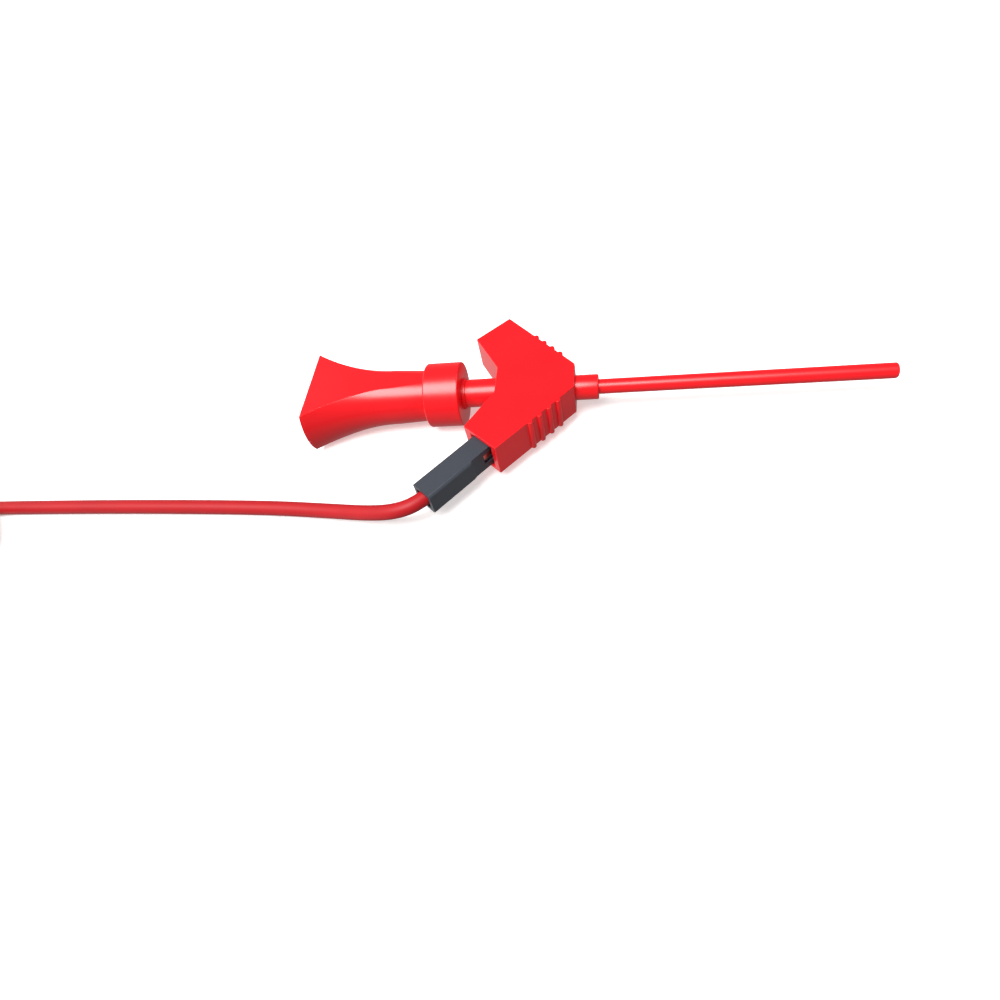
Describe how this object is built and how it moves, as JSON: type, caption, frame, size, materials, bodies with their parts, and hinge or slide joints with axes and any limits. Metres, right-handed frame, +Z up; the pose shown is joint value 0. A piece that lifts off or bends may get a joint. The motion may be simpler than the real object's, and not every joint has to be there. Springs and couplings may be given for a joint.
{
  "type": "ic test hook clip",
  "caption": "Spring-loaded hook clip for integrated circuit legs, with thumb button, slim shaft, swept socket arms and a plug-in test lead.",
  "frame": {"origin": "on the surface it lies on, under the middle of the clip's length, on the clip's axis line", "axes": "+X along the clip's axis towards the claws, +Z up out of the body's flat face"},
  "size_m": [0.1094, 0.0416, 0.0065],
  "materials": {
    "red_nylon": "satin moulded nylon",
    "red_tube": "smooth moulded nylon tube",
    "spring_steel": "drawn stainless steel wire",
    "claw_steel": "bright spring wire",
    "pin_metal": "tin-plated square brass pin",
    "brass": "drawn brass",
    "black_plastic": "moulded black housing",
    "contact_metal": "tin-plated folded contact",
    "red_insulation": "extruded soft insulation",
    "tie_plastic": "soft tie band"
  },
  "bodies": {
    "clip_body": {"body_housing": "red_nylon", "shaft_tube": "red_tube", "contact_sleeve": "brass", "spring_washer": "spring_steel", "lead_socket_pin": "pin_metal", "spare_socket_pin": "pin_metal", "return_spring": "spring_steel"},
    "button": {"thumb_button": "red_nylon", "plunger": "red_nylon", "wire_crimp": "brass", "stem_wire": "spring_steel"},
    "left_jaw": {"left_claw": "claw_steel"},
    "right_jaw": {"right_claw": "claw_steel"},
    "lead": {"plug_housing": "black_plastic", "plug_contact": "contact_metal", "lead_wire": "red_insulation", "lead_coil": "red_insulation", "lead_tail": "red_insulation", "coil_tie": "tie_plastic", "far_plug_housing": "black_plastic", "far_plug_contact": "contact_metal"}
  },
  "joints": [
    {"name": "button_push", "type": "slide", "parent": "clip_body", "child": "button", "axis": [1, 0, 0], "range_m": [0, 0.0024], "stiffness_N_per_m": 300, "springref_m": -0.0015, "deforming": ["return_spring"]},
    {"name": "left_jaw_open", "type": "hinge", "parent": "button", "child": "left_jaw", "pos_m": [0.02585, 0.00019, 0.00327], "axis": [0, 0, 1], "range_deg": [0, 8]},
    {"name": "right_jaw_open", "type": "hinge", "parent": "button", "child": "right_jaw", "pos_m": [0.02585, -0.00019, 0.00327], "axis": [0, 0, -1], "range_deg": [0, 8]},
    {"name": "plug_pull", "type": "slide", "parent": "clip_body", "child": "lead", "axis": [-0.6691, -0.7431, 0], "range_m": [0, 0.0075]}
  ],
  "couplings": [
    {"joint": "left_jaw_open", "follows": "button_push", "rad_per_m": 58.177},
    {"joint": "right_jaw_open", "follows": "button_push", "rad_per_m": 58.177}
  ]
}
